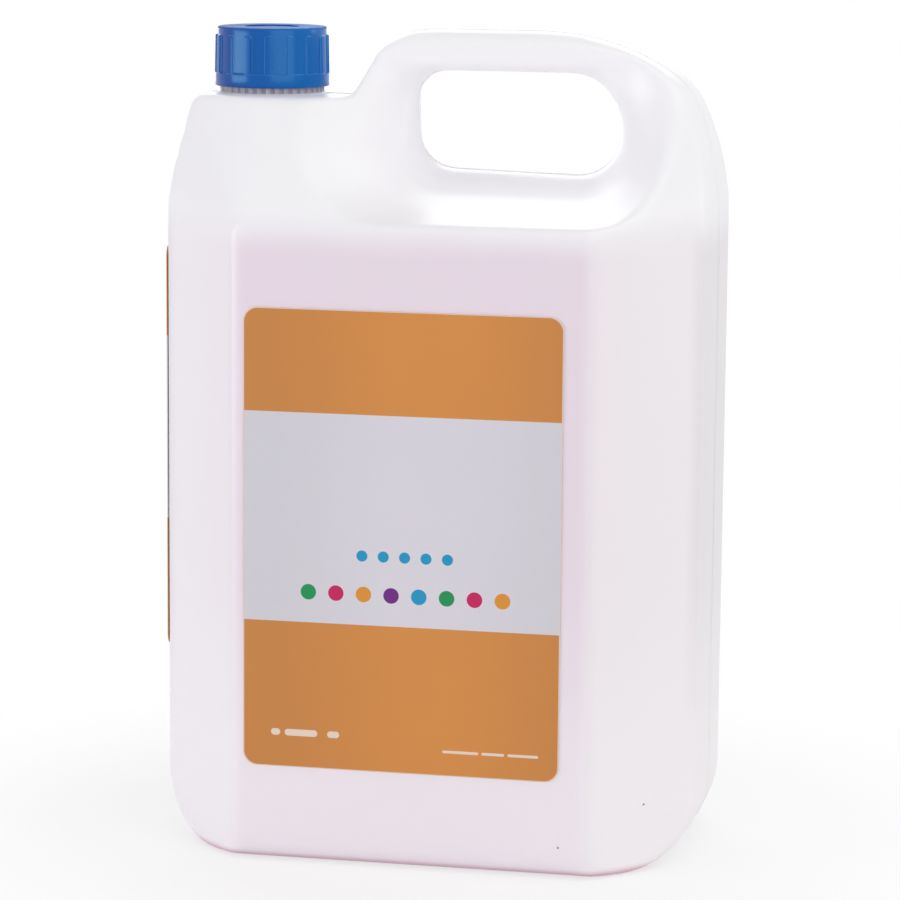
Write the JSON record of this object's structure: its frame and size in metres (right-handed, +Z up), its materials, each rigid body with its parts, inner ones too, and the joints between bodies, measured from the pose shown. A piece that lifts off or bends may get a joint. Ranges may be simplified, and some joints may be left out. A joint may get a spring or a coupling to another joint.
{
  "type": "hand soap refill pack",
  "caption": "Blow-moulded soap refill can with a side-set grip handle, an offset neck, a ribbed screw cap with a sealing disc, and banded labels on its front and one side.",
  "frame": {"origin": "middle of the base, in the plane of the rim that the can stands on", "axes": "+Z up, +X along the broad front from the neck towards the handle, the broad front faces -Y"},
  "size_m": [0.1981, 0.1304, 0.2953],
  "materials": {
    "bottle_plastic": "natural translucent polyethylene, satin, tinted pink by the soap behind it",
    "soap": "pearly pink liquid",
    "cap_plastic": "satin moulded blue polypropylene",
    "liner_foam": "fine white foam",
    "label": "satin film label with orange bands and a pale grey middle"
  },
  "bodies": {
    "bottle": {"bottle": "bottle_plastic", "soap": "soap", "front_label": "label", "side_label": "label"},
    "liner": {"cap_liner": "liner_foam"},
    "cap": {"cap": "cap_plastic"}
  },
  "joints": [
    {"name": "cap_lift", "type": "slide", "parent": "bottle", "child": "liner", "axis": [0, 0, 1], "range_m": [0, 0.03]},
    {"name": "cap_turn", "type": "hinge", "parent": "liner", "child": "cap", "pos_m": [-0.0668, 0, 0.285], "axis": [0, 0, 1], "range_deg": [0, 540]}
  ]
}
